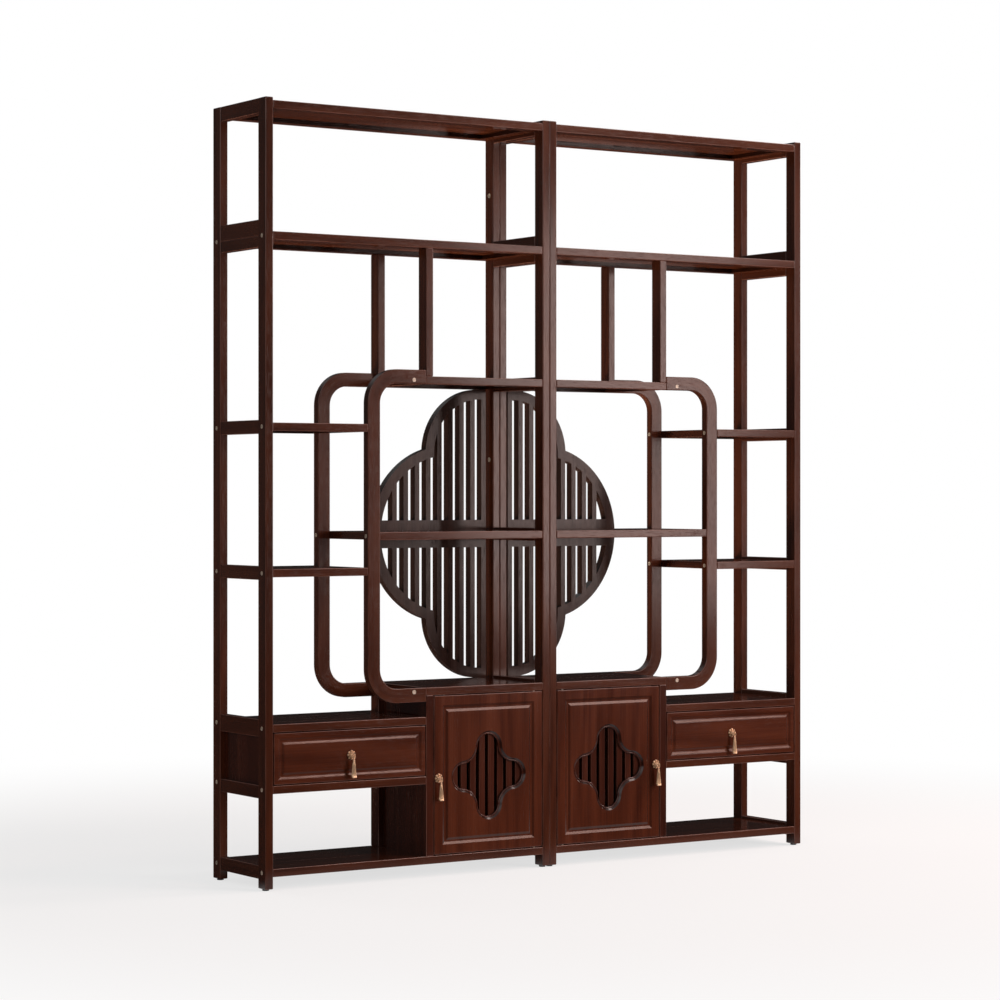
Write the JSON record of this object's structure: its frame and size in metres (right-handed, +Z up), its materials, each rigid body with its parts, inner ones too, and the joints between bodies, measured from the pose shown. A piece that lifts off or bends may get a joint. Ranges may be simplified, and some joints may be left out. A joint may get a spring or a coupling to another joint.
{
  "type": "tea cabinet",
  "caption": "Open display cabinet of two mirrored units with shelves, a round-cornered arch frame, slatted quatrefoil back plates, cupboard doors and drawers with tassel pulls.",
  "frame": {"origin": "on the floor under the middle of the whole cabinet's box", "axes": "+Z up, +X to the right along the front, +Y towards the back"},
  "size_m": [1.6, 0.28, 1.846],
  "materials": {
    "frame_wood": "satin reddish-brown stain",
    "panel_wood": "satin reddish-brown stain",
    "lattice_wood": "satin dark brown stain",
    "front_wood": "satin reddish-brown stain",
    "grille_wood": "satin dark brown stain",
    "drawer_wood": "clear satin lacquer",
    "pull_brass": "satin antique",
    "fitting_steel": "zinc plated",
    "fitting_brass": "turned",
    "catch_plastic": "matte",
    "glide_plastic": "matte"
  },
  "bodies": {
    "case": {"dividers": "frame_wood", "knockdown_fittings": "fitting_steel", "joining_bolts": "fitting_steel", "lattice_dowels": "drawer_wood", "door_bushings": "fitting_brass", "door_catches": "catch_plastic", "drawer_runners": "drawer_wood", "foot_glides": "glide_plastic", "left_front_outer_post": "frame_wood", "left_rear_outer_post": "frame_wood", "left_front_inner_post": "frame_wood", "left_rear_inner_post": "frame_wood", "left_side_rails": "frame_wood", "left_front_arch": "frame_wood", "left_rear_arch": "frame_wood", "left_top_board": "frame_wood", "left_upper_shelf": "frame_wood", "left_arch_shelf": "frame_wood", "left_middle_shelf": "frame_wood", "left_outer_shelves": "frame_wood", "left_drawer_case_boards": "frame_wood", "left_cupboard_top": "frame_wood", "left_bottom_shelf": "frame_wood", "left_case_panels": "panel_wood", "left_lattice": "lattice_wood", "right_front_outer_post": "frame_wood", "right_rear_outer_post": "frame_wood", "right_front_inner_post": "frame_wood", "right_rear_inner_post": "frame_wood", "right_side_rails": "frame_wood", "right_front_arch": "frame_wood", "right_rear_arch": "frame_wood", "right_top_board": "frame_wood", "right_upper_shelf": "frame_wood", "right_arch_shelf": "frame_wood", "right_middle_shelf": "frame_wood", "right_outer_shelves": "frame_wood", "right_drawer_case_boards": "frame_wood", "right_cupboard_top": "frame_wood", "right_bottom_shelf": "frame_wood", "right_case_panels": "panel_wood", "right_lattice": "lattice_wood"},
    "left_door": {"left_door_leaf": "front_wood", "left_door_grille": "grille_wood", "left_door_pins": "fitting_steel", "left_door_pull_rose": "pull_brass"},
    "left_drawer": {"left_drawer_front": "front_wood", "left_drawer_box": "drawer_wood", "left_drawer_pull_rose": "pull_brass"},
    "left_door_pull": {"left_door_pull_drop": "pull_brass"},
    "left_drawer_pull": {"left_drawer_pull_drop": "pull_brass"},
    "right_door": {"right_door_leaf": "front_wood", "right_door_grille": "grille_wood", "right_door_pins": "fitting_steel", "right_door_pull_rose": "pull_brass"},
    "right_drawer": {"right_drawer_front": "front_wood", "right_drawer_box": "drawer_wood", "right_drawer_pull_rose": "pull_brass"},
    "right_door_pull": {"right_door_pull_drop": "pull_brass"},
    "right_drawer_pull": {"right_drawer_pull_drop": "pull_brass"}
  },
  "joints": [
    {"name": "left_door_swing", "type": "hinge", "parent": "case", "child": "left_door", "pos_m": [-0.043, -0.112, 0.2445], "axis": [0, 0, 1], "range_deg": [0, 80]},
    {"name": "left_drawer_slide", "type": "slide", "parent": "case", "child": "left_drawer", "axis": [0, -1, 0], "range_m": [0, 0.16]},
    {"name": "left_door_pull_swing", "type": "hinge", "parent": "left_door", "child": "left_door_pull", "pos_m": [-0.3255, -0.133, 0.23753], "axis": [-1, 0, 0], "range_deg": [-5, 60]},
    {"name": "left_drawer_pull_swing", "type": "hinge", "parent": "left_drawer", "child": "left_drawer_pull", "pos_m": [-0.5695, -0.133, 0.30598], "axis": [-1, 0, 0], "range_deg": [-5, 60]},
    {"name": "right_door_swing", "type": "hinge", "parent": "case", "child": "right_door", "pos_m": [0.043, -0.112, 0.2445], "axis": [0, 0, -1], "range_deg": [0, 80]},
    {"name": "right_drawer_slide", "type": "slide", "parent": "case", "child": "right_drawer", "axis": [0, -1, 0], "range_m": [0, 0.16]},
    {"name": "right_door_pull_swing", "type": "hinge", "parent": "right_door", "child": "right_door_pull", "pos_m": [0.3255, -0.133, 0.23753], "axis": [-1, 0, 0], "range_deg": [-5, 60]},
    {"name": "right_drawer_pull_swing", "type": "hinge", "parent": "right_drawer", "child": "right_drawer_pull", "pos_m": [0.5695, -0.133, 0.30598], "axis": [-1, 0, 0], "range_deg": [-5, 60]}
  ]
}
